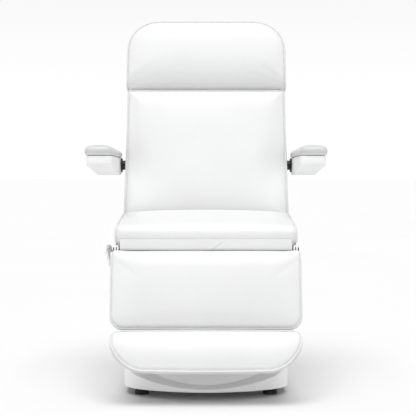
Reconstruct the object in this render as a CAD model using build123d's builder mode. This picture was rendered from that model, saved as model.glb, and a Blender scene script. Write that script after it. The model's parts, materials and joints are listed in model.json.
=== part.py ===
from build123d import *
import math
import os

os.makedirs("parts", exist_ok=True)

# ---------------------------------------------------------------- driving dimensions (mm)
# The chair faces -Y, +Z is up, X = 0 is the middle plane. The origin is on the floor.
FRONT_Y = -322.0          # front edge of the seat cushion
SEAT_HALF = 310.0         # half width of the seat cushion
SEAT_BOTTOM = 507.0       # underside of the seat cushion
SEAT_TOP = 610.0          # top of the seat cushion
RAIL_Z = 457.0            # underside of the seat frame
TUBE = 40.0               # seat frame tube height
BACK_LEAN = 21.5          # back lean from vertical, degrees
BACK_HINGE = (FRONT_Y + 500.0, 500.0)
LEG_LEAN = 20.5           # leg rest lean from vertical, degrees
LEG_HINGE = (FRONT_Y + 8.0, 496.0)
TUBE_H = -44.4            # leg frame tubes, distance in front of the leg hinge plane
FOOT_LEAN = 38.0          # foot pad lean from vertical, degrees
ARM_PIVOT_UP = 308.5      # armrest pivot, distance up the back from the recline hinge
ARM_PIVOT_H = -11.0       # armrest pivot, distance in front of the recline hinge plane
CRANK = 80.0              # crank radius of both actuator levers
LEG_PIN_Y = 50.3          # leg actuator pin behind its hinge at rest
BACK_PIN_Y = 52.1         # back actuator pin behind its hinge at rest
ACT_X = 100.0             # sideways place of the two actuators
COLUMN_Y = FRONT_Y + 250.0
FOOT_X = 218.6            # levelling foot spacing, half
FOOT_YS = (FRONT_Y + 60.0, FRONT_Y + 545.0)


def tilted(point, lean, h=0.0):
    """Plane leaning back from vertical: local y runs up the slope, local z points to the front."""
    a = math.radians(lean)
    origin = (0, point[0] - h * math.cos(a), point[1] + h * math.sin(a))
    return Plane(origin=origin, x_dir=(1, 0, 0), z_dir=(0, -math.cos(a), math.sin(a)))


def on_slope(point, lean, up, h):
    """Y and Z of a point given by its distance up a slope and in front of it."""
    a = math.radians(lean)
    return (
        point[0] + up * math.sin(a) - h * math.cos(a),
        point[1] + up * math.cos(a) + h * math.sin(a),
    )


def side(x):
    """Side view plane at x: local x runs to the back, local y runs up, extrusions go to +X."""
    return Plane(origin=(x, 0, 0), x_dir=(0, 1, 0), z_dir=(1, 0, 0))


def back_pt(up, h):
    return on_slope(BACK_HINGE, BACK_LEAN, up, h)


def leg_pt(down, h):
    return on_slope(LEG_HINGE, LEG_LEAN, -down, h)


ARM_PIVOT = back_pt(ARM_PIVOT_UP, ARM_PIVOT_H)
# tilt hinge of the foot pad, below and behind the leg rest
FOOT_HINGE = leg_pt(322.0, TUBE_H)
FOOT_TOP_FRONT = (FRONT_Y - 118.0, 243.0)

# ---------------------------------------------------------------- base
# welded steel base frame with a column socket and four foot sockets
with BuildPart() as base_frame:
    for sx in (-1, 1):
        with Locations((sx * FOOT_X, FRONT_Y + 300, 52)):
            Box(50, 560, 32)
    for y in (FRONT_Y + 130, FRONT_Y + 250, FRONT_Y + 480):
        with Locations((0, y, 52)):
            Box(2 * FOOT_X - 50, 50, 32)
    with Locations((0, COLUMN_Y, 52)):
        Box(160, 160, 32)
    with Locations(*[(sx * FOOT_X, y, 52) for sx in (-1, 1) for y in FOOT_YS]):
        Cylinder(6.05, 32, mode=Mode.SUBTRACT)
base_frame.part.label = "base_frame"
export_step(base_frame.part, "parts/base_frame.step")

# outline of the plinth seen from above: bowed front of three arcs, rounded rear corners
def plinth_outline(inset):
    with BuildSketch(Plane.XY.offset(26)) as sk:
        with BuildLine():
            ThreePointArc((-215, FRONT_Y - 10), (0, FRONT_Y - 72), (215, FRONT_Y - 10))
            TangentArc((215, FRONT_Y - 10), (280, FRONT_Y + 87), tangent=(0.846, 0.533))
            Polyline((280, FRONT_Y + 87), (280, FRONT_Y + 620), (-280, FRONT_Y + 620), (-280, FRONT_Y + 87))
            TangentArc((-215, FRONT_Y - 10), (-280, FRONT_Y + 87), tangent=(-0.846, 0.533))
        make_face()
        rear = sk.vertices().group_by(Axis.Y)[-1]
        fillet(rear, 60)
        if inset:
            offset(amount=-inset, mode=Mode.REPLACE)
    return sk.sketch


def plinth_block(inset, drop):
    """Plinth body under a deck that slopes up from the low front rim."""
    slope = math.tan(math.radians(25))
    low = 36 - drop
    with BuildPart() as block:
        add(plinth_outline(inset))
        extrude(amount=94 - drop)
        with BuildSketch(side(0)):
            with BuildLine():
                Polyline(
                    (FRONT_Y - 120, low - 48 * slope),
                    (FRONT_Y + 180, low + 252 * slope),
                    (FRONT_Y - 120, low + 252 * slope),
                    (FRONT_Y - 120, low - 48 * slope),
                )
            make_face()
        extrude(amount=400, both=True, mode=Mode.SUBTRACT)
    return block.part


plinth_outside = plinth_block(0.0, 0.0)
plinth_inside = plinth_block(4.0, 4.0)


def shroud_outline(half, front, rear, z, bow, corner):
    """Rounded plan of the riser with a bowed front edge."""
    with BuildSketch(Plane.XY.offset(z)) as sk:
        with BuildLine():
            ThreePointArc((-half, front + bow), (0, front), (half, front + bow))
            Polyline((half, front + bow), (half, rear), (-half, rear), (-half, front + bow))
        make_face()
        fillet(sk.vertices(), corner)
    return sk.sketch


def riser_block(inset):
    with BuildPart() as block:
        add(shroud_outline(205 - inset, FRONT_Y - 50 + inset, FRONT_Y + 480 - inset, 42, 75, 40))
        add(shroud_outline(168 - inset, FRONT_Y + 56 + inset, FRONT_Y + 430 - inset, 340, 22, 40))
        loft()
    return block.part


riser_outside = riser_block(0.0)

# moulded plinth cover over the base frame, open underneath, cut out inside the riser
with BuildPart() as plinth_cover:
    add(plinth_outside)
    fillet(plinth_cover.edges().group_by(Axis.Z)[-1], 9)
    add(plinth_inside, mode=Mode.SUBTRACT)
    with Locations((0, FRONT_Y + 245, 100)):
        Box(326, 360, 160, mode=Mode.SUBTRACT)
    with Locations((150, FRONT_Y + 618, 78)):
        Box(50, 30, 30, mode=Mode.SUBTRACT)
plinth_cover.part.label = "plinth_cover"
export_step(plinth_cover.part, "parts/plinth_cover.step")

# riser: lower half of the telescopic shroud, standing on the sloping deck
with BuildPart() as riser_shroud:
    add(riser_outside)
    add(riser_block(4.0), mode=Mode.SUBTRACT)
    add(plinth_outside, mode=Mode.SUBTRACT)
riser_shroud.part.label = "riser_shroud"
export_step(riser_shroud.part, "parts/riser_shroud.step")

# fixed outer tube of the lifting column with its foot flange
with BuildPart() as column_outer:
    with Locations((0, COLUMN_Y, 72)):
        Box(150, 150, 8)
    with Locations((0, COLUMN_Y, 203)):
        Box(110, 110, 254)
    with Locations((0, COLUMN_Y, 206)):
        Box(100, 100, 260, mode=Mode.SUBTRACT)
column_outer.part.label = "column_outer"
export_step(column_outer.part, "parts/column_outer.step")

# spindle of the lift drive standing on the column foot
with BuildPart() as lift_spindle:
    with Locations((0, COLUMN_Y, 76)):
        Cylinder(24, 14, align=(Align.CENTER, Align.CENTER, Align.MIN))
        Cylinder(10, 250, align=(Align.CENTER, Align.CENTER, Align.MIN))
lift_spindle.part.label = "lift_spindle"
export_step(lift_spindle.part, "parts/lift_spindle.step")

# lift motor and its gearbox beside the column
with BuildPart() as lift_motor:
    with Locations((98, COLUMN_Y, 76)):
        Box(80, 80, 34, align=(Align.CENTER, Align.CENTER, Align.MIN))
    with Locations((100, COLUMN_Y, 110)):
        Cylinder(31, 105, align=(Align.CENTER, Align.CENTER, Align.MIN))
    with Locations((100, COLUMN_Y, 215)):
        Cylinder(12, 8, align=(Align.CENTER, Align.CENTER, Align.MIN))
lift_motor.part.label = "lift_motor"
export_step(lift_motor.part, "parts/lift_motor.step")

# plates under the motor and the control box, welded across the frame
with BuildPart() as drive_tray:
    for sx in (-1, 1):
        with Locations((sx * 109, COLUMN_Y, 72)):
            Box(66, 110, 8)
drive_tray.part.label = "drive_tray"
export_step(drive_tray.part, "parts/drive_tray.step")

# control box with the transformer
with BuildPart() as control_box:
    with Locations((-104, COLUMN_Y, 76)):
        Box(70, 130, 100, align=(Align.CENTER, Align.CENTER, Align.MIN))
    fillet(control_box.edges().filter_by(Axis.Z), 5)
control_box.part.label = "control_box"
export_step(control_box.part, "parts/control_box.step")

# mains inlet socket set in the rear wall of the plinth
with BuildPart() as mains_inlet:
    with Locations((150, FRONT_Y + 610, 78)):
        Box(49.9, 20, 29.9)
    with Locations((150, FRONT_Y + 622, 78)):
        Box(60, 4, 38)
    with Locations((150, FRONT_Y + 617, 78)):
        Box(28, 14, 18, mode=Mode.SUBTRACT)
    with Locations(*[(150 + dx, FRONT_Y + 612, 78 + dz) for dx, dz in ((-7, -2), (0, 3), (7, -2))]):
        Box(2, 10, 4)
mains_inlet.part.label = "mains_inlet"
export_step(mains_inlet.part, "parts/mains_inlet.step")

# screws that hold the plinth cover, three on each side wall
with BuildPart() as plinth_screws:
    for sx in (-1, 1):
        for y in (FRONT_Y + 150, FRONT_Y + 340, FRONT_Y + 530):
            with BuildSketch(side(280 * sx)):
                with Locations((y, 58)):
                    Circle(6)
            extrude(amount=2.5 * sx)
plinth_screws.part.label = "plinth_screws"
export_step(plinth_screws.part, "parts/plinth_screws.step")

# four levelling feet: rubber pad with a threaded stem turned up into the frame
LEVELLERS = []
for name, sx, y in (
    ("front_left", 1, FOOT_YS[0]),
    ("front_right", -1, FOOT_YS[0]),
    ("rear_left", 1, FOOT_YS[1]),
    ("rear_right", -1, FOOT_YS[1]),
):
    with BuildPart() as leveller:
        with Locations((sx * FOOT_X, y, 0)):
            Cylinder(24, 16, align=(Align.CENTER, Align.CENTER, Align.MIN))
        fillet(leveller.edges().group_by(Axis.Z)[-1], 4)
        with Locations((sx * FOOT_X, y, 16)):
            Cylinder(11, 10, align=(Align.CENTER, Align.CENTER, Align.MIN))
            Cylinder(6, 52, align=(Align.CENTER, Align.CENTER, Align.MIN))
    leveller.part.label = "leveller_" + name
    export_step(leveller.part, "parts/leveller_" + name + ".step")

# ---------------------------------------------------------------- seat carrier
# sliding inner tube of the column with the spindle nut in its foot
with BuildPart() as column_inner:
    with Locations((0, COLUMN_Y, 80)):
        Box(99.9, 99.9, 365, align=(Align.CENTER, Align.CENTER, Align.MIN))
    with Locations((0, COLUMN_Y, 120)):
        Box(88, 88, 330, align=(Align.CENTER, Align.CENTER, Align.MIN), mode=Mode.SUBTRACT)
    with Locations((0, COLUMN_Y, 92)):
        Cylinder(24.5, 40, mode=Mode.SUBTRACT)
        Cylinder(10.05, 200, mode=Mode.SUBTRACT)
column_inner.part.label = "column_inner"
export_step(column_inner.part, "parts/column_inner.step")

# plate on top of the column that carries the seat frame
with BuildPart() as column_plate:
    with Locations((0, COLUMN_Y, 451)):
        Box(180, 180, 12)
    fillet(column_plate.edges().filter_by(Axis.Z), 12)
column_plate.part.label = "column_plate"
export_step(column_plate.part, "parts/column_plate.step")

# upper half of the telescopic shroud, hung from the seat frame on four rods
with BuildPart() as upper_shroud:
    add(shroud_outline(150, FRONT_Y + 76, FRONT_Y + 412, 100, 8, 12))
    extrude(amount=250)
    add(shroud_outline(147, FRONT_Y + 79, FRONT_Y + 409, 90, 8, 9))
    extrude(amount=257, mode=Mode.SUBTRACT)
    with Locations((0, COLUMN_Y, 348)):
        Box(104, 104, 20, mode=Mode.SUBTRACT)
    for sx in (-1, 1):
        for y in (FRONT_Y + 100, FRONT_Y + 396):
            with Locations((sx * 45, y, 350)):
                Cylinder(4, RAIL_Z - 350, align=(Align.CENTER, Align.CENTER, Align.MIN))
upper_shroud.part.label = "upper_shroud"
export_step(upper_shroud.part, "parts/upper_shroud.step")

# seat frame: two side rails, four cross tubes, hinge plates front and rear
with BuildPart() as seat_frame:
    for sx in (-1, 1):
        with Locations((sx * 282, FRONT_Y + 275, RAIL_Z + TUBE / 2)):
            Box(40, 400, TUBE)
        with BuildSketch(side(302 * sx)):
            with BuildLine():
                Polyline(
                    (FRONT_Y + 140, RAIL_Z + 4),
                    (FRONT_Y + 140, 494),
                    (LEG_HINGE[0], 505),
                    (LEG_HINGE[0], 487),
                    (FRONT_Y + 80, RAIL_Z + 4),
                    (FRONT_Y + 140, RAIL_Z + 4),
                )
            make_face()
            with Locations(LEG_HINGE):
                Circle(9)
                Circle(5, mode=Mode.SUBTRACT)
        extrude(amount=6 * sx)
        with BuildSketch(side(302 * sx)):
            with BuildLine():
                Polyline(
                    (FRONT_Y + 360, RAIL_Z + 4),
                    (FRONT_Y + 360, 494),
                    (BACK_HINGE[0], BACK_HINGE[1] + 16),
                    (BACK_HINGE[0], BACK_HINGE[1] - 16),
                    (FRONT_Y + 440, RAIL_Z + 4),
                    (FRONT_Y + 360, RAIL_Z + 4),
                )
            make_face()
            with Locations(BACK_HINGE):
                Circle(16)
                Circle(6, mode=Mode.SUBTRACT)
        extrude(amount=6 * sx)
    for y in (FRONT_Y + 95, FRONT_Y + 185, FRONT_Y + 315, FRONT_Y + 405):
        with Locations((0, y, RAIL_Z + TUBE / 2)):
            Box(524, 40, TUBE)
seat_frame.part.label = "seat_frame"
export_step(seat_frame.part, "parts/seat_frame.step")

# plywood seat board
with BuildPart() as seat_board:
    with Locations((0, FRONT_Y + 200, 502)):
        Box(596, 340, 10)
    fillet(seat_board.edges().filter_by(Axis.Z), 20)
seat_board.part.label = "seat_board"
export_step(seat_board.part, "parts/seat_board.step")

def seat_rear(z):
    """Y of the seat cushion's rear end, a plane parallel to the back with a small gap."""
    a = math.radians(BACK_LEAN)
    return BACK_HINGE[0] + (z - BACK_HINGE[1]) * math.tan(a) - 107 / math.cos(a)


# seat cushion: rolled front crest, rear end cut parallel to the back
with BuildPart() as seat_cushion:
    with BuildSketch(side(-SEAT_HALF)):
        with BuildLine():
            Polyline(
                (FRONT_Y, SEAT_BOTTOM),
                (seat_rear(SEAT_BOTTOM), SEAT_BOTTOM),
                (seat_rear(SEAT_TOP), SEAT_TOP),
                (FRONT_Y, SEAT_TOP),
                (FRONT_Y, SEAT_BOTTOM),
            )
        make_face()
    extrude(amount=2 * SEAT_HALF)
    fillet(seat_cushion.edges().filter_by(Axis.X).group_by(Axis.Y)[0].sort_by(Axis.Z)[-1:], 34)
    fillet(seat_cushion.edges().filter_by(Axis.X).group_by(Axis.Z)[0].sort_by(Axis.Y)[:1], 8)
seat_cushion.part.label = "seat_cushion"
export_step(seat_cushion.part, "parts/seat_cushion.step")

# vinyl strip that covers the gap above the leg rest hinge, closed slab
with BuildPart() as gap_flap:
    with BuildSketch(side(-278)):
        with BuildLine():
            Polyline(
                (FRONT_Y - 2.6, 530),
                (FRONT_Y - 0.6, 530),
                (FRONT_Y - 0.6, 506.2),
                (FRONT_Y + 30, 506.2),
                (FRONT_Y + 30, 504.2),
                (FRONT_Y - 2.6, 504.2),
                (FRONT_Y - 2.6, 530),
            )
        make_face()
    extrude(amount=556)
gap_flap.part.label = "gap_flap"
export_step(gap_flap.part, "parts/gap_flap.step")

# pivot bolts: leg rest pair in front, recline pair behind, with dark heads outside
with BuildPart() as hinge_bolts:
    for sx in (-1, 1):
        for (y, z), r, head, inner in ((LEG_HINGE, 5, 7, 290), (BACK_HINGE, 6, 10, 284)):
            with BuildSketch(side(inner * sx)):
                with Locations((y, z)):
                    Circle(r)
            extrude(amount=(308 - inner) * sx)
            with BuildSketch(side(308 * sx)):
                with Locations((y, z)):
                    Circle(head)
            extrude(amount=4 * sx)
hinge_bolts.part.label = "hinge_bolts"
export_step(hinge_bolts.part, "parts/hinge_bolts.step")


# linear actuators: bored body, gearbox block and lugs up to the cross tubes
def actuator(x, z, nose, tail, lug_ys, gear_front):
    """Actuator body along Y with its bore open at the nose end."""
    length = abs(nose - tail)
    middle = (nose + tail) / 2
    with BuildPart() as act:
        with BuildSketch(Plane(origin=(x, nose, z), x_dir=(1, 0, 0), z_dir=(0, math.copysign(1, tail - nose), 0))):
            Circle(20)
        extrude(amount=length)
        with Locations((x, gear_front + 25, z)):
            Box(44, 50, 44)
        for y in lug_ys:
            with Locations((x, y, (z + RAIL_Z) / 2)):
                Box(16, 12, RAIL_Z - z)
        with BuildSketch(Plane(origin=(x, nose, z), x_dir=(1, 0, 0), z_dir=(0, math.copysign(1, tail - nose), 0))):
            Circle(10.05)
        extrude(amount=length - 6, mode=Mode.SUBTRACT)
    return act.part, middle


LEG_PIN = (LEG_HINGE[0] + LEG_PIN_Y, LEG_HINGE[1] - CRANK)
BACK_PIN = (BACK_HINGE[0] + BACK_PIN_Y, BACK_HINGE[1] - CRANK)

with BuildPart() as leg_actuator:
    add(actuator(-ACT_X, LEG_PIN[1], FRONT_Y + 100, FRONT_Y + 262, (FRONT_Y + 190, FRONT_Y + 303), FRONT_Y + 260)[0])
leg_actuator.part.label = "leg_actuator"
export_step(leg_actuator.part, "parts/leg_actuator.step")

with BuildPart() as back_actuator:
    add(actuator(ACT_X, BACK_PIN[1], FRONT_Y + 406, FRONT_Y + 256, (FRONT_Y + 395, FRONT_Y + 300), FRONT_Y + 208)[0])
back_actuator.part.label = "back_actuator"
export_step(back_actuator.part, "parts/back_actuator.step")

# motors beside the actuators, bolted to the gearbox blocks
with BuildPart() as actuator_motors:
    for x, y, z in ((-144, FRONT_Y + 225, LEG_PIN[1]), (144, FRONT_Y + 173, BACK_PIN[1])):
        with Locations((x, y + 60, z)):
            Box(44, 50, 44)
        with BuildSketch(Plane(origin=(x, y - 50, z), x_dir=(1, 0, 0), z_dir=(0, 1, 0))):
            Circle(19)
        extrude(amount=90)
actuator_motors.part.label = "actuator_motors"
export_step(actuator_motors.part, "parts/actuator_motors.step")


def actuator_rod(x, z, pin_y, inner_y):
    """Sliding rod with a forked end for the lever."""
    toward = math.copysign(1, inner_y - pin_y)
    fork_root = pin_y + toward * 30
    with BuildPart() as rod:
        with Locations((x, pin_y + toward * 34, z)):
            Box(24, 8, 24)
        for dx in (-8.5, 8.5):
            with BuildSketch(side(x + dx - 2.5)):
                with Locations((pin_y, z)):
                    Circle(12)
                with Locations(((pin_y + fork_root) / 2, z)):
                    Rectangle(abs(fork_root - pin_y), 24)
                with Locations((pin_y, z)):
                    Circle(5, mode=Mode.SUBTRACT)
            extrude(amount=5)
        start = pin_y + toward * 38
        with BuildSketch(Plane(origin=(x, start, z), x_dir=(1, 0, 0), z_dir=(0, toward, 0))):
            Circle(10)
        extrude(amount=abs(inner_y - start))
    return rod.part


with BuildPart() as leg_rod:
    add(actuator_rod(-ACT_X, LEG_PIN[1], LEG_PIN[0], FRONT_Y + 236))
leg_rod.part.label = "leg_rod"
export_step(leg_rod.part, "parts/leg_rod.step")

with BuildPart() as back_rod:
    add(actuator_rod(ACT_X, BACK_PIN[1], BACK_PIN[0], FRONT_Y + 370))
back_rod.part.label = "back_rod"
export_step(back_rod.part, "parts/back_rod.step")

# fork pins that run in the slots of the levers
with BuildPart() as leg_rod_pin:
    with BuildSketch(side(-ACT_X - 12)):
        with Locations(LEG_PIN):
            Circle(5)
    extrude(amount=24)
leg_rod_pin.part.label = "leg_rod_pin"
export_step(leg_rod_pin.part, "parts/leg_rod_pin.step")

with BuildPart() as back_rod_pin:
    with BuildSketch(side(ACT_X - 12)):
        with Locations(BACK_PIN):
            Circle(5)
    extrude(amount=24)
back_rod_pin.part.label = "back_rod_pin"
export_step(back_rod_pin.part, "parts/back_rod_pin.step")

# ---------------------------------------------------------------- back
CROSS_H = -11.0
# welded back frame: rails, cross tubes, hinge plates and the slotted lever
with BuildPart() as back_frame:
    for sx in (-1, 1):
        with BuildSketch(tilted(BACK_HINGE, BACK_LEAN, -23.5)):
            with Locations((sx * 200, 430)):
                Rectangle(25, 780)
        extrude(amount=25)
        with BuildSketch(side(292 * sx)):
            with BuildLine():
                Polyline(
                    back_pt(66, -23.5),
                    back_pt(66, 1.5),
                    back_pt(40, 1.5),
                    back_pt(0, 15.5),
                    back_pt(0, -15.5),
                    back_pt(40, -23.5),
                    back_pt(66, -23.5),
                )
            make_face()
            with Locations(BACK_HINGE):
                Circle(15.5)
                Circle(6.05, mode=Mode.SUBTRACT)
        extrude(amount=7 * sx)
    for up in (53, ARM_PIVOT_UP, 560, 808):
        half = 292 if up == 53 else 290
        with BuildSketch(tilted(BACK_HINGE, BACK_LEAN, -23.5)):
            with Locations((0, up)):
                Rectangle(2 * half if up < 400 else 425, 25)
        extrude(amount=25)
    for sx in (-1, 1):
        with BuildSketch(side(262 * sx)):
            with Locations(ARM_PIVOT):
                Circle(7)
        extrude(amount=40 * sx, mode=Mode.SUBTRACT)
    # lever: the slot points at the hinge and its middle is 34 degrees behind vertical
    with BuildSketch(side(ACT_X - 4)):
        lever_dir = (math.sin(math.radians(34)), -math.cos(math.radians(34)))
        ahead = (lever_dir[1], -lever_dir[0])
        corners = [
            back_pt(60, -23.5),
            back_pt(46, -2),
            (BACK_HINGE[0] + 62 * lever_dir[0] + 13 * ahead[0], BACK_HINGE[1] + 62 * lever_dir[1] + 13 * ahead[1]),
            (BACK_HINGE[0] + 112 * lever_dir[0] + 13 * ahead[0], BACK_HINGE[1] + 112 * lever_dir[1] + 13 * ahead[1]),
            (BACK_HINGE[0] + 112 * lever_dir[0] - 13 * ahead[0], BACK_HINGE[1] + 112 * lever_dir[1] - 13 * ahead[1]),
            (BACK_HINGE[0] + 62 * lever_dir[0] - 13 * ahead[0], BACK_HINGE[1] + 62 * lever_dir[1] - 13 * ahead[1]),
        ]
        with BuildLine():
            Polyline(*corners, corners[0])
        make_face()
        with Locations((BACK_HINGE[0] + 88.5 * lever_dir[0], BACK_HINGE[1] + 88.5 * lever_dir[1])):
            with Locations(Rotation(0, 0, -56)):
                SlotOverall(36, 14.2, mode=Mode.SUBTRACT)
    extrude(amount=8)
back_frame.part.label = "back_frame"
export_step(back_frame.part, "parts/back_frame.step")

# plywood back board with rounded top corners
with BuildPart() as back_board:
    with BuildSketch(tilted(BACK_HINGE, BACK_LEAN, 1.5)) as board_plan:
        with Locations((0, 443)):
            Rectangle(580, 830)
        fillet(board_plan.vertices().group_by(Axis.Y)[-1], 128)
    extrude(amount=12)
back_board.part.label = "back_board"
export_step(back_board.part, "parts/back_board.step")

# main back cushion
with BuildPart() as back_cushion:
    with BuildSketch(tilted(BACK_HINGE, BACK_LEAN, 13.5)):
        with Locations((0, 302)):
            Rectangle(2 * 305, 568)
    extrude(amount=88)
    fillet(back_cushion.edges().filter_by(Axis.X).sort_by(Axis.Z)[:2], 12)
back_cushion.part.label = "back_cushion"
export_step(back_cushion.part, "parts/back_cushion.step")

# head cushion with large top corners and a fuller front
with BuildPart() as head_cushion:
    with BuildSketch(tilted(BACK_HINGE, BACK_LEAN, 13.5)) as head_plan:
        with Locations((0, 728.5)):
            Rectangle(2 * 309, 281)
        fillet(head_plan.vertices().group_by(Axis.Y)[-1], 135)
    extrude(amount=108)
    fillet(head_cushion.edges().filter_by(Axis.X).group_by(Axis.Y)[0], 30)
head_cushion.part.label = "head_cushion"
export_step(head_cushion.part, "parts/head_cushion.step")

# moulded rear cover: shallow tray behind the frame with holes for the armrest shafts
with BuildPart() as back_cover:
    with BuildSketch(tilted(BACK_HINGE, BACK_LEAN, -34)) as cover_plan:
        with Locations((0, 469.5)):
            Rectangle(2 * 297, 789)
        fillet(cover_plan.vertices().group_by(Axis.Y)[-1], 126)
    extrude(amount=47)
    with BuildSketch(tilted(BACK_HINGE, BACK_LEAN, -30)) as tray_plan:
        with Locations((0, 467)):
            Rectangle(2 * 294, 788)
        fillet(tray_plan.vertices().group_by(Axis.Y)[-1], 123)
    extrude(amount=60, mode=Mode.SUBTRACT)
    for sx in (-1, 1):
        with BuildSketch(side(280 * sx)):
            with Locations(ARM_PIVOT):
                Circle(8)
        extrude(amount=30 * sx, mode=Mode.SUBTRACT)
back_cover.part.label = "back_cover"
export_step(back_cover.part, "parts/back_cover.step")

# screws of the rear cover
with BuildPart() as cover_screws:
    for sx in (-1, 1):
        for up in (150, 420, 700):
            with BuildSketch(tilted(BACK_HINGE, BACK_LEAN, -34)):
                with Locations((sx * 200, up)):
                    Circle(6)
            extrude(amount=-2)
cover_screws.part.label = "cover_screws"
export_step(cover_screws.part, "parts/cover_screws.step")

# armrest shafts plugged into the ends of the back frame's cross tube
with BuildPart() as arm_shafts:
    for sx in (-1, 1):
        with BuildSketch(side(262 * sx)):
            with Locations(ARM_PIVOT):
                Circle(7)
        extrude(amount=106 * sx)
arm_shafts.part.label = "arm_shafts"
export_step(arm_shafts.part, "parts/arm_shafts.step")

# black spacer sleeves between the back and the armrests
with BuildPart() as arm_spacers:
    for sx in (-1, 1):
        with BuildSketch(side(297 * sx)):
            with Locations(ARM_PIVOT):
                Circle(18)
                Circle(7, mode=Mode.SUBTRACT)
        extrude(amount=24 * sx)
arm_spacers.part.label = "arm_spacers"
export_step(arm_spacers.part, "parts/arm_spacers.step")

# ---------------------------------------------------------------- armrests
PY, PZ = ARM_PIVOT
ARM_FRONT = FRONT_Y + 150
for name, sx in (("left", 1), ("right", -1)):
    # moulded shell: tapered trough, deeper towards the pivot
    with BuildPart() as arm_shell:
        with BuildSketch(side(327 * sx)) as shell_side:
            with BuildLine():
                Polyline(
                    (ARM_FRONT + 4, 813),
                    (ARM_FRONT + 8, 786),
                    (ARM_FRONT + 30, 775),
                    (PY - 45, 745),
                    (PY + 20, 745),
                    (PY + 46, 775),
                    (PY + 46, 810),
                    (ARM_FRONT + 4, 813),
                )
            make_face()
        extrude(amount=90 * sx)
        low = arm_shell.edges().filter_by(Axis.X).group_by(Axis.Z)[0]
        fillet(low, 18)
        with BuildSketch(side(331 * sx)):
            with BuildLine():
                Polyline(
                    (ARM_FRONT + 9, 830),
                    (ARM_FRONT + 13, 789),
                    (ARM_FRONT + 33, 779.5),
                    (PY - 42, 750),
                    (PY + 17, 750),
                    (PY + 41, 778),
                    (PY + 41, 830),
                    (ARM_FRONT + 9, 830),
                )
            make_face()
        extrude(amount=82 * sx, mode=Mode.SUBTRACT)
        with BuildSketch(side(326 * sx)):
            with Locations(ARM_PIVOT):
                Circle(9)
        extrude(amount=10 * sx, mode=Mode.SUBTRACT)
    arm_shell.part.label = "arm_shell_" + name
    export_step(arm_shell.part, "parts/arm_shell_" + name + ".step")

    # upholstered pad on top of the shell
    with BuildPart() as arm_pad:
        with BuildSketch(side(324 * sx)):
            with BuildLine():
                Polyline(
                    (ARM_FRONT, 813.2),
                    (PY + 50, 810.0),
                    (PY + 50, 842),
                    (ARM_FRONT, 851),
                    (ARM_FRONT, 813.2),
                )
            make_face()
        extrude(amount=98 * sx)
        fillet(arm_pad.edges().filter_by(Axis.X).group_by(Axis.Z)[-1], 16)
    arm_pad.part.label = "arm_pad_" + name
    export_step(arm_pad.part, "parts/arm_pad_" + name + ".step")

    # steel arm inside the shell with the pivot hub
    with BuildPart() as arm_steel:
        with BuildSketch(side(331 * sx)):
            with Locations(ARM_PIVOT):
                Circle(20)
            with BuildLine():
                Polyline(
                    (PY, PZ + 14),
                    (PY, PZ - 14),
                    (ARM_FRONT + 40, 788),
                    (ARM_FRONT + 40, 808),
                    (PY, PZ + 14),
                )
            make_face()
        extrude(amount=8 * sx)
        with BuildSketch(side(331 * sx)):
            with Locations(ARM_PIVOT):
                Circle(16)
        extrude(amount=34 * sx)
        for y in (ARM_FRONT + 70, PY - 130):
            with Locations((sx * 366, y, 803)):
                Box(70, 30, 14)
        with BuildSketch(side(331 * sx)):
            with Locations(ARM_PIVOT):
                Circle(7.05)
        extrude(amount=40 * sx, mode=Mode.SUBTRACT)
    arm_steel.part.label = "arm_steel_" + name
    export_step(arm_steel.part, "parts/arm_steel_" + name + ".step")

    # black pivot disc on the inner side of the armrest
    with BuildPart() as arm_disc:
        with BuildSketch(side(321.4 * sx)):
            with Locations(ARM_PIVOT):
                Circle(27)
                Circle(7.05, mode=Mode.SUBTRACT)
        extrude(amount=5.6 * sx)
    arm_disc.part.label = "arm_disc_" + name
    export_step(arm_disc.part, "parts/arm_disc_" + name + ".step")

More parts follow.
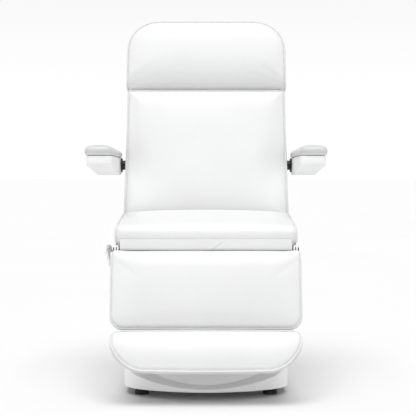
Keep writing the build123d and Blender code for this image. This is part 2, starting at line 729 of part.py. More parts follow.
# ---------------------------------------------------------------- leg rest
# leg frame: two bored tubes, cross tubes, hinge plates and the slotted lever
with BuildPart() as leg_frame:
    for sx in (-1, 1):
        with BuildSketch(tilted(leg_pt(262, TUBE_H), LEG_LEAN).rotated((90, 0, 0))):
            with Locations((sx * 200, 0)):
                Circle(15)
        extrude(amount=-242)
        with BuildSketch(side(293 * sx)):
            with BuildLine():
                Polyline(
                    leg_pt(33, -54.4),
                    leg_pt(33, -29.6),
                    leg_pt(10, -29.6),
                    leg_pt(4, -8),
                    leg_pt(-9, 0),
                    leg_pt(-6, -30),
                    leg_pt(12, -54.4),
                    leg_pt(33, -54.4),
                )
            make_face()
            with Locations(LEG_HINGE):
                Circle(9)
                Circle(5.05, mode=Mode.SUBTRACT)
        extrude(amount=6 * sx)
    for down, half, deep in ((22, 293, 20), (102, 200, 25), (240, 200, 25)):
        with BuildSketch(tilted(LEG_HINGE, LEG_LEAN, -54.4)):
            with Locations((0, -down)):
                Rectangle(2 * half, deep)
        extrude(amount=25)
    with BuildSketch(side(-ACT_X - 4)):
        lever_dir = (math.sin(math.radians(33)), -math.cos(math.radians(33)))
        ahead = (lever_dir[1], -lever_dir[0])
        corners = [
            leg_pt(114, -54.3),
            leg_pt(92, -54.3),
            (LEG_HINGE[0] + 74 * lever_dir[0] + 13 * ahead[0], LEG_HINGE[1] + 74 * lever_dir[1] + 13 * ahead[1]),
            (LEG_HINGE[0] + 70 * lever_dir[0] - 13 * ahead[0], LEG_HINGE[1] + 70 * lever_dir[1] - 13 * ahead[1]),
            (LEG_HINGE[0] + 110 * lever_dir[0] - 13 * ahead[0], LEG_HINGE[1] + 110 * lever_dir[1] - 13 * ahead[1]),
        ]
        with BuildLine():
            Polyline(*corners, corners[0])
        make_face()
        with Locations((LEG_HINGE[0] + 88 * lever_dir[0], LEG_HINGE[1] + 88 * lever_dir[1])):
            with Locations(Rotation(0, 0, -57)):
                SlotOverall(34, 14.2, mode=Mode.SUBTRACT)
    extrude(amount=8)
    for sx in (-1, 1):
        with BuildSketch(tilted(leg_pt(262, TUBE_H), LEG_LEAN).rotated((90, 0, 0))):
            with Locations((sx * 200, 0)):
                Circle(12)
        extrude(amount=-230, mode=Mode.SUBTRACT)
leg_frame.part.label = "leg_frame"
export_step(leg_frame.part, "parts/leg_frame.step")

# plywood board of the leg rest
with BuildPart() as leg_board:
    with BuildSketch(tilted(LEG_HINGE, LEG_LEAN, -29.4)):
        with Locations((0, -141)):
            RectangleRounded(600, 246, 15)
    extrude(amount=12)
leg_board.part.label = "leg_board"
export_step(leg_board.part, "parts/leg_board.step")

# leg rest cushion
with BuildPart() as leg_cushion:
    with BuildSketch(tilted(LEG_HINGE, LEG_LEAN, -17.4)):
        with Locations((0, -144)):
            Rectangle(640, 264)
    extrude(amount=62)
    fillet(leg_cushion.edges().filter_by(Axis.X).group_by(Axis.Y)[0], 20)
    fillet(leg_cushion.edges().filter_by(Axis.X).sort_by(Axis.Z)[-1:], 6)
leg_cushion.part.label = "leg_cushion"
export_step(leg_cushion.part, "parts/leg_cushion.step")

# ---------------------------------------------------------------- foot rest
# sliding foot frame: two rods in the leg tubes, cross bar and hinge eyes
with BuildPart() as foot_frame:
    for sx in (-1, 1):
        with BuildSketch(tilted(leg_pt(334, TUBE_H), LEG_LEAN).rotated((90, 0, 0))):
            with Locations((sx * 200, 0)):
                Circle(11.95)
        extrude(amount=-270)
    with BuildSketch(side(-200)):
        with Locations(FOOT_HINGE):
            Circle(9)
    extrude(amount=400)
foot_frame.part.label = "foot_frame"
export_step(foot_frame.part, "parts/foot_frame.step")


def foot_pt(down, h):
    return on_slope(FOOT_TOP_FRONT, FOOT_LEAN, -down, h)


# plywood board of the foot pad with hinge lugs that clip round the cross bar
with BuildPart() as foot_board:
    with BuildSketch(tilted(FOOT_TOP_FRONT, FOOT_LEAN, -50)) as foot_plan:
        with Locations((0, -68)):
            Rectangle(590, 116)
        fillet(foot_plan.vertices().group_by(Axis.Y)[0], 90)
    extrude(amount=10)
    for sx in (-1, 1):
        for x in (120, 150):
            with BuildSketch(side(sx * x - 4)):
                with BuildLine():
                    Polyline(
                        foot_pt(18, -49.9),
                        foot_pt(72, -49.9),
                        (FOOT_HINGE[0] + 4, FOOT_HINGE[1] - 14),
                        (FOOT_HINGE[0] + 13, FOOT_HINGE[1] + 4),
                        foot_pt(18, -49.9),
                    )
                make_face()
                with Locations(FOOT_HINGE):
                    Circle(15)
                    Circle(9.05, mode=Mode.SUBTRACT)
            extrude(amount=8)
foot_board.part.label = "foot_board"
export_step(foot_board.part, "parts/foot_board.step")

# foot pad cushion, straight top edge and deeply rounded lower corners
with BuildPart() as foot_cushion:
    with BuildSketch(tilted(FOOT_TOP_FRONT, FOOT_LEAN, -40)) as pad_plan:
        with Locations((0, -70.5)):
            Rectangle(634, 141)
        fillet(pad_plan.vertices().group_by(Axis.Y)[0], 110)
    extrude(amount=40)
    fillet(foot_cushion.edges().filter_by(Axis.X).sort_by(Axis.Z)[-1:], 12)
foot_cushion.part.label = "foot_cushion"
export_step(foot_cushion.part, "parts/foot_cushion.step")

# ---------------------------------------------------------------- hand control
HAND_LEAN = math.radians(15.5)
HAND_TOP = (-347.0, FRONT_Y + 92.0, 503.0)


def hand_plane(depth):
    """Outer face of the hand control moved inwards by depth: local y up, local z outwards."""
    out = (-math.cos(HAND_LEAN), 0, -math.sin(HAND_LEAN))
    origin = (HAND_TOP[0] - out[0] * depth, HAND_TOP[1], HAND_TOP[2] - out[2] * depth)
    return Plane(origin=origin, x_dir=(0, -1, 0), z_dir=out)


BUTTON_SPOTS = [(dx, -down) for down in (22, 44, 66) for dx in (-10, 10)]

# outer half of the case with button wells
with BuildPart() as handset_front:
    with BuildSketch(hand_plane(7)):
        with Locations((0, -59)):
            RectangleRounded(50, 118, 12)
    extrude(amount=7)
    fillet(handset_front.faces().sort_by(Axis.X)[0].edges(), 2.5)
    with BuildSketch(hand_plane(0)):
        with Locations(*BUTTON_SPOTS):
            Circle(6)
    extrude(amount=-5, mode=Mode.SUBTRACT)
handset_front.part.label = "handset_front"
export_step(handset_front.part, "parts/handset_front.step")

# inner half of the case
with BuildPart() as handset_rear:
    with BuildSketch(hand_plane(15)):
        with Locations((0, -59)):
            RectangleRounded(50, 118, 12)
    extrude(amount=8)
handset_rear.part.label = "handset_rear"
export_step(handset_rear.part, "parts/handset_rear.step")

for number, (dx, up) in enumerate(BUTTON_SPOTS, start=1):
    with BuildPart() as button:
        with BuildSketch(hand_plane(3.5)):
            with Locations((dx, up)):
                Circle(5.5)
        extrude(amount=5)
        fillet(button.faces().sort_by(Axis.X)[0].edges(), 0.8)
    button.part.label = "button_" + str(number)
    export_step(button.part, "parts/button_" + str(number) + ".step")

# bent holder: back plate, bottom ledge, side lips and the arm to the seat frame
with BuildPart() as handset_holder:
    with BuildSketch(hand_plane(18.9)):
        with Locations((0, -62)):
            Rectangle(58, 116)
    extrude(amount=3)
    with BuildSketch(hand_plane(18.9)):
        with Locations((0, -120)):
            Rectangle(58, 2.4)
    extrude(amount=15)
    for dx in (-27.2, 27.2):
        with BuildSketch(hand_plane(18.9)):
            with Locations((dx, -90)):
                Rectangle(2.4, 60)
        extrude(amount=15)
    with Locations((-313, FRONT_Y + 92, 478)):
        Box(10, 44, 26)
    with BuildSketch(hand_plane(15.9)):
        with Locations((0, -62)):
            Rectangle(54, 120)
    extrude(amount=18, mode=Mode.SUBTRACT)
handset_holder.part.label = "handset_holder"
export_step(handset_holder.part, "parts/handset_holder.step")
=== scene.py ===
import json
import math

import bpy
import numpy as np
from mathutils import Matrix, Vector
from mathutils.bvhtree import BVHTree
from mathutils.kdtree import KDTree


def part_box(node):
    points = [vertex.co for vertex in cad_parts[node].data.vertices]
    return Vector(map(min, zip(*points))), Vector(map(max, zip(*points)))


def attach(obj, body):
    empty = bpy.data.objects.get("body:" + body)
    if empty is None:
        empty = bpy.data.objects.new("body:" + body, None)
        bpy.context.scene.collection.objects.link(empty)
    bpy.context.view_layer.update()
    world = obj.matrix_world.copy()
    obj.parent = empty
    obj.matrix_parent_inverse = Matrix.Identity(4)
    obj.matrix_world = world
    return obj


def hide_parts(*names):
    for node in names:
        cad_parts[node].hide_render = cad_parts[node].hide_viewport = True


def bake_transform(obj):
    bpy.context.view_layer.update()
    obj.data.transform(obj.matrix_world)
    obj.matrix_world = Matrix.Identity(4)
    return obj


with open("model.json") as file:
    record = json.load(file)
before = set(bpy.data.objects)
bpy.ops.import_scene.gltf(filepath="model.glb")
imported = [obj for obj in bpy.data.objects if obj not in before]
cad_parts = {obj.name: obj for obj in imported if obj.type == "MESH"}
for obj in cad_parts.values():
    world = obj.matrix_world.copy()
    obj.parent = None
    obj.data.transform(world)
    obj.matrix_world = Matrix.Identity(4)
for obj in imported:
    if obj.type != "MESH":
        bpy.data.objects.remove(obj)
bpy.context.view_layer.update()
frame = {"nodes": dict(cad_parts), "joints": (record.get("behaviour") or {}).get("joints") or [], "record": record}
JOINT = {j["name"]: j for j in frame["joints"]}
SCENE = bpy.context.scene
MM = 0.001

# ---------------------------------------------------------------- camera, light, floor
CAMERA_AT = (0.0067, -4.522, 0.7456)
CAMERA_DOWN = 1.508          # degrees below the horizon
LENS = 108.52

camera_data = bpy.data.cameras.new("camera")
camera_data.lens = LENS
camera_data.clip_end = 500
camera = bpy.data.objects.new("camera", camera_data)
camera.location = CAMERA_AT
camera.rotation_euler = (math.radians(90 - CAMERA_DOWN), 0, 0)
SCENE.collection.objects.link(camera)
SCENE.camera = camera
SCENE.view_settings.view_transform = "Standard"
SCENE.view_settings.exposure = 0.0

# very soft key from above and in front
sun_data = bpy.data.lights.new("softbox", "SUN")
sun_data.energy = 2.05
sun_data.angle = math.radians(48)
sun = bpy.data.objects.new("softbox", sun_data)
sun.rotation_euler = (math.radians(18), 0, math.radians(-5))
SCENE.collection.objects.link(sun)

# studio surround: a bright band at the horizon and a bright ceiling
SKY_BASE, SKY_HORIZON, SKY_OVERHEAD = 0.18, 0.84, 0.70
world = bpy.data.worlds.new("studio")
world.use_nodes = True
SCENE.world = world
sky = world.node_tree
sky_split = sky.nodes.new("ShaderNodeSeparateXYZ")
sky.links.new(sky.nodes.new("ShaderNodeTexCoord").outputs["Generated"], sky_split.inputs[0])


def sky_math(operation, a, b):
    """One maths node of the sky; a and b are numbers or sockets."""
    node = sky.nodes.new("ShaderNodeMath")
    node.operation = operation
    for socket, value in zip(node.inputs, (a, b)):
        if isinstance(value, float):
            socket.default_value = value
        else:
            sky.links.new(value, socket)
    return node.outputs[0]


upward = sky_math("MAXIMUM", sky_split.outputs["Z"], 0.0)
upward = sky_math("MULTIPLY", upward, upward)
band = sky_math("POWER", sky_math("SUBTRACT", 1.0, upward), 6.0)
level = sky_math("ADD", sky_math("MULTIPLY", band, SKY_HORIZON), sky_math("MULTIPLY", upward, SKY_OVERHEAD))
level = sky_math("ADD", level, SKY_BASE)
sky.nodes["Background"].inputs["Color"].default_value = (1, 1, 1, 1)
sky.links.new(level, sky.nodes["Background"].inputs["Strength"])


# ---------------------------------------------------------------- materials
class Nodes:
    """Builds one node material with short calls."""

    def __init__(self, name):
        self.material = bpy.data.materials.new(name)
        self.material.use_nodes = True
        self.tree = self.material.node_tree
        self.shader = self.tree.nodes["Principled BSDF"]
        self.place = self.tree.nodes.new("ShaderNodeTexCoord").outputs["Object"]
        self.normal = None

    def add(self, kind, **values):
        node = self.tree.nodes.new("ShaderNode" + kind)
        for key, value in values.items():
            if hasattr(node, key) and not isinstance(node.inputs.get(key), bpy.types.NodeSocket):
                setattr(node, key, value)
            else:
                node.inputs[key].default_value = value
        return node

    def link(self, a, b):
        self.tree.links.new(a, b)

    def noise(self, scale, detail=3.0, stretch=None):
        where = self.place
        if stretch:
            mapping = self.add("Mapping")
            mapping.inputs["Scale"].default_value = stretch
            self.link(where, mapping.inputs["Vector"])
            where = mapping.outputs["Vector"]
        node = self.add("TexNoise", Scale=scale, Detail=detail)
        self.link(where, node.inputs["Vector"])
        return node.outputs["Fac"]

    def cells(self, scale):
        """Distance to the edge of irregular cells, for a pebbled surface."""
        warp = self.add("TexNoise", Scale=scale * 0.6, Detail=2.0)
        self.link(self.place, warp.inputs["Vector"])
        push = self.add("VectorMath")
        push.operation = "SCALE"
        push.inputs["Scale"].default_value = 0.35 / scale
        self.link(warp.outputs["Color"], push.inputs[0])
        total = self.add("VectorMath")
        total.operation = "ADD"
        self.link(self.place, total.inputs[0])
        self.link(push.outputs[0], total.inputs[1])
        node = self.add("TexVoronoi")
        node.feature = "DISTANCE_TO_EDGE"
        node.inputs["Scale"].default_value = scale
        self.link(total.outputs[0], node.inputs["Vector"])
        return node.outputs["Distance"]

    def span(self, value, low, high, to_low, to_high):
        node = self.add("MapRange")
        for key, number in (("From Min", low), ("From Max", high), ("To Min", to_low), ("To Max", to_high)):
            node.inputs[key].default_value = number
        self.link(value, node.inputs["Value"])
        return node.outputs["Result"]

    def blend_colours(self, fac, a, b):
        node = self.add("Mix")
        node.data_type = "RGBA"
        node.inputs[6].default_value = (*a, 1)
        node.inputs[7].default_value = (*b, 1)
        self.link(fac, node.inputs[0])
        return node.outputs[2]

    def bump(self, height, distance, strength):
        node = self.add("Bump")
        node.inputs["Distance"].default_value = distance
        node.inputs["Strength"].default_value = strength
        self.link(height, node.inputs["Height"])
        if self.normal is not None:
            self.link(self.normal, node.inputs["Normal"])
        self.normal = node.outputs["Normal"]

    def soft_edges(self, radius):
        node = self.add("Bevel")
        node.samples = 4
        node.inputs["Radius"].default_value = radius
        self.normal = node.outputs["Normal"]

    def done(self, colour, rough, **fixed):
        self.link(colour, self.shader.inputs["Base Color"])
        self.link(rough, self.shader.inputs["Roughness"])
        if self.normal is not None:
            self.link(self.normal, self.shader.inputs["Normal"])
        for key, value in fixed.items():
            self.shader.inputs[key.replace("_", " ")].default_value = value
        return self.material


def vinyl(name, light, dark, rough):
    """Artificial leather: pebble grain, pores, slow tone and gloss changes."""
    n = Nodes(name)
    n.bump(n.noise(14.0, 3.0), 0.0016, 0.16)
    n.bump(n.span(n.cells(520.0), 0.0, 0.22, 0.0, 1.0), 0.00022, 0.42)
    n.bump(n.noise(1700.0, 2.0), 0.00008, 0.25)
    colour = n.blend_colours(n.span(n.noise(6.0, 4.0), 0.32, 0.68, 0.0, 1.0), light, dark)
    gloss = n.span(n.noise(42.0, 4.0), 0.3, 0.7, rough - 0.04, rough + 0.05)
    return n.done(
        colour, gloss, Specular_IOR_Level=0.42, Sheen_Weight=0.06, Sheen_Roughness=0.5, Coat_Weight=0.05,
        Coat_Roughness=0.35,
    )


def plastic(name, light, dark, rough, grain=900.0, edge=0.0012, strength=0.2, shine=0.5):
    """Moulded plastic with a fine spark-eroded texture and softened edges."""
    n = Nodes(name)
    if edge:
        n.soft_edges(edge)
    n.bump(n.noise(grain, 3.0), 0.00009, strength)
    n.bump(n.noise(7.0, 2.0), 0.001, 0.05)
    colour = n.blend_colours(n.span(n.noise(5.0, 3.0), 0.35, 0.65, 0.0, 1.0), light, dark)
    gloss = n.span(n.noise(60.0, 3.0), 0.3, 0.7, rough - 0.05, rough + 0.05)
    return n.done(colour, gloss, Specular_IOR_Level=shine)


def paint(name, light, dark, rough, metallic=0.0):
    """Powder coat: orange peel and slight wear in the tone."""
    n = Nodes(name)
    n.soft_edges(0.0010)
    n.bump(n.noise(420.0, 4.0), 0.00012, 0.35)
    colour = n.blend_colours(n.span(n.noise(18.0, 5.0), 0.35, 0.7, 0.0, 1.0), light, dark)
    gloss = n.span(n.noise(90.0, 4.0), 0.3, 0.7, rough - 0.06, rough + 0.08)
    return n.done(colour, gloss, Metallic=metallic, Specular_IOR_Level=0.5)


def bright_steel(name, light, dark, rough):
    """Turned steel with fine lines along X and faint smears."""
    n = Nodes(name)
    n.soft_edges(0.0006)
    n.bump(n.noise(300.0, 4.0, (0.15, 6.0, 6.0)), 0.00004, 0.3)
    colour = n.blend_colours(n.span(n.noise(25.0, 5.0), 0.3, 0.7, 0.0, 1.0), light, dark)
    gloss = n.span(n.noise(160.0, 4.0, (0.2, 5.0, 5.0)), 0.3, 0.7, rough - 0.07, rough + 0.1)
    return n.done(colour, gloss, Metallic=1.0)


def faced_board(name):
    """Board with a pale backing cloth: fine weave, faint lengthwise tone."""
    n = Nodes(name)
    n.soft_edges(0.0008)
    weave = n.noise(900.0, 2.0, (1.0, 0.25, 0.25))
    n.bump(weave, 0.00015, 0.3)
    tone = n.span(n.noise(30.0, 5.0, (0.2, 1.0, 1.0)), 0.3, 0.7, 0.0, 1.0)
    colour = n.blend_colours(tone, (0.62, 0.61, 0.59), (0.55, 0.54, 0.52))
    return n.done(colour, n.span(weave, 0.3, 0.7, 0.7, 0.85))


def black_rubber(name):
    """Moulded rubber: matt, with a coarse grain."""
    n = Nodes(name)
    n.soft_edges(0.0012)
    n.bump(n.noise(700.0, 4.0), 0.00018, 0.4)
    tone = n.span(n.noise(30.0, 4.0), 0.3, 0.7, 0.0, 1.0)
    colour = n.blend_colours(tone, (0.016, 0.016, 0.017), (0.032, 0.031, 0.030))
    return n.done(colour, n.span(n.noise(80.0, 4.0), 0.3, 0.7, 0.62, 0.82), Specular_IOR_Level=0.35)


VINYL = vinyl("vinyl_white", (0.765, 0.767, 0.769), (0.743, 0.745, 0.748), 0.40)
PIPING = vinyl("vinyl_piping", (0.735, 0.737, 0.740), (0.712, 0.714, 0.718), 0.36)
ARM_VINYL = vinyl("vinyl_armrest", (0.615, 0.617, 0.621), (0.590, 0.593, 0.599), 0.42)
WHITE = plastic("plastic_white", (0.915, 0.916, 0.916), (0.900, 0.902, 0.903), 0.32)
GREY = plastic("plastic_grey", (0.55, 0.56, 0.57), (0.51, 0.52, 0.53), 0.45)
BLACK = plastic("plastic_black", (0.018, 0.018, 0.019), (0.030, 0.030, 0.031), 0.42)
KEY = plastic("plastic_key", (0.29, 0.31, 0.34), (0.25, 0.27, 0.30), 0.5, edge=0.0005)
FRAME_PAINT = paint("paint_white", (0.80, 0.80, 0.80), (0.74, 0.74, 0.735), 0.42)
DRIVE_PAINT = paint("paint_black", (0.035, 0.035, 0.038), (0.055, 0.055, 0.058), 0.45)
DARK_STEEL = paint("steel_black", (0.030, 0.030, 0.032), (0.060, 0.058, 0.056), 0.38, 0.6)
STEEL = bright_steel("steel_bright", (0.62, 0.62, 0.63), (0.50, 0.50, 0.51), 0.27)
BOARD = faced_board("faced_board")
RUBBER = black_rubber("rubber_black")

# the armrest shells are satin, because their undersides are seen almost edge-on
SHELL = plastic(
    "plastic_shell", (0.900, 0.901, 0.901), (0.885, 0.887, 0.888), 0.62, edge=0, strength=0.02, shine=0.2
)
SLOT_MATERIAL = {
    "upholstery": VINYL,
    "white_plastic": WHITE,
    "grey_plastic": GREY,
    "black_plastic": BLACK,
    "button_plastic": KEY,
    "board": BOARD,
    "frame_paint": FRAME_PAINT,
    "drive_paint": DRIVE_PAINT,
    "steel": STEEL,
    "dark_steel": DARK_STEEL,
    "rubber": RUBBER,
}


def dress(obj, material):
    """Gives the object this material and no other."""
    obj.data.materials.clear()
    obj.data.materials.append(material)


for row in frame["record"]["subparts"]:
    dress(frame["nodes"][row["node"]], SLOT_MATERIAL[row["material_slot"]])
# the rear half of the hand control and its holder are a darker grey
for word in ("handset_rear", "handset_holder"):
    dress(frame["nodes"][word], GREY)


# ---------------------------------------------------------------- frames of the sloping parts
def slope_frame(point, lean):
    """Local x across, y up the slope, z out of the board, for a surface that leans back from vertical."""
    a = math.radians(lean)
    return Matrix((
        (1, 0, 0, 0),
        (0, math.sin(a), -math.cos(a), point[1]),
        (0, math.cos(a), math.sin(a), point[2]),
        (0, 0, 0, 1),
    ))


# degrees from the vertical, and a point near the middle of the foot pad's upper edge
BACK_LEAN, LEG_LEAN, FOOT_LEAN = 21.5, 20.5, 38.0
FOOT_TOP = (0, -0.440, 0.243)
BACK = slope_frame(JOINT["recline"]["pos_m"], BACK_LEAN)
LEG = slope_frame(JOINT["leg_raise"]["pos_m"], LEG_LEAN)
FOOT = slope_frame(FOOT_TOP, FOOT_LEAN)
FLAT = Matrix.Identity(4)


# ---------------------------------------------------------------- mesh tools
def rounded_loop(corners, radii, insets, arc=10, run=20):
    """Points round a convex outline with rounded corners, counter-clockwise.

    Each edge moves in by its own inset.
    """
    corners = np.array(corners, float)
    count = len(corners)
    insets = np.broadcast_to(np.array(insets, float), (count,))
    along = np.roll(corners, -1, 0) - corners
    along /= np.linalg.norm(along, axis=1)[:, None]
    inward = np.stack([-along[:, 1], along[:, 0]], 1)
    base = corners + inward * insets[:, None]
    arcs = []
    for i in range(count):
        p, q = (i - 1) % count, i
        a, b = along[p], along[q]
        cross = a[0] * b[1] - a[1] * b[0]
        d = base[q] - base[p]
        t = (d[0] * b[1] - d[1] * b[0]) / cross
        corner = base[p] + a * t
        turn = math.acos(float(np.clip(a @ b, -1, 1)))
        radius = max(radii[i] - max(insets[p], insets[q], 0.0), 1.5)
        back = radius * math.tan(turn / 2)
        start = corner - a * back
        centre = start + inward[p] * radius
        first = start - centre
        points = []
        for k in range(arc + 1):
            angle = turn * k / arc
            c, s = math.cos(angle), math.sin(angle)
            points.append(centre + np.array([first[0] * c - first[1] * s, first[0] * s + first[1] * c]))
        arcs.append(points)
    loop = []
    for i in range(count):
        loop += arcs[i]
        end = arcs[(i + 1) % count][0]
        loop += [arcs[i][-1] + (end - arcs[i][-1]) * k / run for k in range(1, run)]
    return np.array(loop)


def box_loop(x0, x1, y0, y1, low, high, inset=0.0, inset_low=None, arc=10, run=20):
    """Rounded rectangle; the lower edge may have its own inset."""
    under = inset if inset_low is None else inset_low
    corners = ((x0, y0), (x1, y0), (x1, y1), (x0, y1))
    return rounded_loop(corners, (low, low, high, high), (under, inset, inset, inset), arc, run)


def loft(name, rings, mirror=None):
    """Mesh through equally long closed rings, in millimetres, closed by a fan at each end.

    With mirror, strips from side to side close each end instead: point i lies opposite point mirror - i.
    """
    count = len(rings[0])
    points = [p for ring in rings for p in ring]
    faces = []
    for r in range(len(rings) - 1):
        a, b = r * count, (r + 1) * count
        for i in range(count):
            j = (i + 1) % count
            faces.append((a + i, a + j, b + j, b + i))
    if mirror is not None:
        for start, flip in ((0, True), ((len(rings) - 1) * count, False)):
            for k in range(count // 2):
                corner = [mirror // 2 - k, mirror // 2 - k - 1, mirror // 2 + k + 1, mirror // 2 + k]
                corner = list(dict.fromkeys(start + c % count for c in corner))
                faces.append(tuple(corner) if flip else tuple(reversed(corner)))
    else:
        for ring, start, flip in ((rings[0], 0, True), (rings[-1], (len(rings) - 1) * count, False)):
            points.append(np.mean(ring, axis=0))
            hub = len(points) - 1
            for i in range(count):
                j = (i + 1) % count
                faces.append((start + j, start + i, hub) if flip else (start + i, start + j, hub))
    mesh = bpy.data.meshes.new(name)
    mesh.from_pydata([tuple(np.array(p) * MM) for p in points], [], faces)
    mesh.validate()
    return mesh


def new_object(name, mesh):
    obj = bpy.data.objects.new(name, mesh)
    SCENE.collection.objects.link(obj)
    return obj


def bake(obj):
    """Applies every modifier of obj to its mesh."""
    bpy.context.view_layer.update()
    shown = obj.evaluated_get(bpy.context.evaluated_depsgraph_get())
    mesh = bpy.data.meshes.new_from_object(shown)
    obj.modifiers.clear()
    old = obj.data
    obj.data = mesh
    bpy.data.meshes.remove(old)


def points_of(mesh):
    co = np.zeros(len(mesh.vertices) * 3)
    mesh.vertices.foreach_get("co", co)
    return co.reshape(-1, 3)


def set_points(mesh, co):
    mesh.vertices.foreach_set("co", co.astype(np.float32).ravel())
    mesh.update()


def normals_of(mesh):
    n = np.zeros(len(mesh.vertices) * 3)
    mesh.vertices.foreach_get("normal", n)
    return n.reshape(-1, 3)


def smooth(mesh):
    mesh.polygons.foreach_set("use_smooth", [True] * len(mesh.polygons))
    mesh.update()


def finer(path, step, closed):
    """The path again with points about step apart, in metres."""
    path = np.array(path, float)
    if closed:
        path = np.vstack([path, path[:1]])
    length = np.concatenate([[0], np.cumsum(np.linalg.norm(np.diff(path, axis=0), axis=1))])
    count = max(4, int(round(length[-1] / step)))
    at = np.linspace(0, length[-1], count + 1)
    if closed:
        at = at[:-1]
    return np.stack([np.interp(at, length, path[:, k]) for k in range(3)], 1)


def seam_tree(seams):
    points = np.vstack([finer(path, 0.004, closed) for path, closed in seams])
    tree = KDTree(len(points))
    for i, p in enumerate(points):
        tree.insert(p, i)
    tree.balance()
    return tree


def distances(co, tree):
    found = [tree.find(p) for p in co]
    return np.array([f[2] for f in found]), np.array([f[1] for f in found])


def tube(path, radius, closed, sides=10):
    """Points and faces of a round tube along a path."""
    count = len(path)
    ahead = np.roll(path, -1, 0) - np.roll(path, 1, 0)
    if not closed:
        ahead[0], ahead[-1] = path[1] - path[0], path[-1] - path[-2]
    ahead /= np.linalg.norm(ahead, axis=1)[:, None]
    out = np.zeros_like(path)
    side = np.cross(ahead[0], (0.3, 0.2, 0.9))
    for i in range(count):
        side = side - ahead[i] * (side @ ahead[i])
        side /= np.linalg.norm(side)
        out[i] = side
    if closed:
        last = np.cross(ahead, out)
        gap = out[-1] - ahead[0] * (out[-1] @ ahead[0])
        gap /= np.linalg.norm(gap)
        twist = math.atan2(gap @ last[0], gap @ out[0])
        turn = -twist * np.arange(count) / count
        out = out * np.cos(turn)[:, None] + last * np.sin(turn)[:, None]
    other = np.cross(ahead, out)
    points = np.concatenate([
        (path + radius * (math.cos(a) * out + math.sin(a) * other))[:, None]
        for a in np.linspace(0, 2 * math.pi, sides, endpoint=False)
    ], 1).reshape(-1, 3)
    faces = []
    for i in range(count if closed else count - 1):
        j = (i + 1) % count
        for k in range(sides):
            m = (k + 1) % sides
            faces.append((i * sides + k, i * sides + m, j * sides + m, j * sides + k))
    if not closed:
        faces.append(tuple(reversed(range(sides))))
        faces.append(tuple((count - 1) * sides + k for k in range(sides)))
    return points, faces


def joined(name, parts):
    points, faces = [], []
    for more_points, more_faces in parts:
        start = len(points)
        points += [tuple(p) for p in more_points]
        faces += [tuple(start + i for i in f) for f in more_faces]
    mesh = bpy.data.meshes.new(name)
    mesh.from_pydata(points, [], faces)
    mesh.validate()
    smooth(mesh)
    return new_object(name, mesh)


# ---------------------------------------------------------------- padded pieces
SIM_FRAMES = 20
SPREAD_PASSES = 28
FOLDS_KEPT = 0.25
SEAM_HOLD = 0.008       # the cover's hold at a seam fades to nothing over this distance
BACK_HOLD = 0.006       # and its hold at the back grows to full over this one, from back_limit
GROOVE_AWAY = 0.0045    # distance from the seam at which the groove beside the piping is deepest
GROOVE_WIDE = 0.0042
PUCKER_DEEP = 0.00045


def spread(mesh, move, loose):
    """Evens out the swelling between neighbouring points, leaving FOLDS_KEPT of its folds."""
    ends = np.zeros(len(mesh.edges) * 2, int)
    mesh.edges.foreach_get("vertices", ends)
    a, b = ends.reshape(-1, 2).T
    count = np.bincount(ends, minlength=len(move)).clip(1)[:, None]
    even = move.copy()
    for _ in range(SPREAD_PASSES):
        total = np.zeros_like(even)
        for k in range(3):
            total[:, k] += np.bincount(a, even[b, k], len(move)) + np.bincount(b, even[a, k], len(move))
        even = (even + total / count) / 2 * loose[:, None]
    return (1 - FOLDS_KEPT) * even + FOLDS_KEPT * move


def inflate(obj, held, cap):
    """Cloth pressure swells the cover between its held points; no point moves further than cap."""
    start = points_of(obj.data)
    group = obj.vertex_groups.new(name="held")
    for level in np.unique(np.round(held, 2)):
        if level > 0:
            group.add([int(i) for i in np.nonzero(np.round(held, 2) == level)[0]], float(level), "REPLACE")
    cloth = obj.modifiers.new("fill", "CLOTH")
    setting = cloth.settings
    setting.quality = 5
    setting.mass = 0.3
    setting.tension_stiffness = 18
    setting.compression_stiffness = 18
    setting.shear_stiffness = 8
    setting.bending_stiffness = 1.2
    setting.air_damping = 2.0
    setting.use_pressure = True
    setting.uniform_pressure_force = 4.0
    setting.vertex_group_mass = "held"
    setting.effector_weights.gravity = 0.0
    cloth.point_cache.frame_start = 1
    cloth.point_cache.frame_end = SIM_FRAMES
    for step in range(1, SIM_FRAMES + 1):
        SCENE.frame_set(step)
    bpy.context.view_layer.update()
    shown = obj.evaluated_get(bpy.context.evaluated_depsgraph_get())
    swollen = points_of(shown.data)
    obj.modifiers.clear()
    obj.vertex_groups.clear()
    SCENE.frame_set(1)
    move = spread(obj.data, swollen - start, 1 - held)
    size = np.linalg.norm(move, axis=1)
    limited = cap * np.tanh(size / cap) / np.maximum(size, 1e-9)
    set_points(obj.data, start + move * limited[:, None])


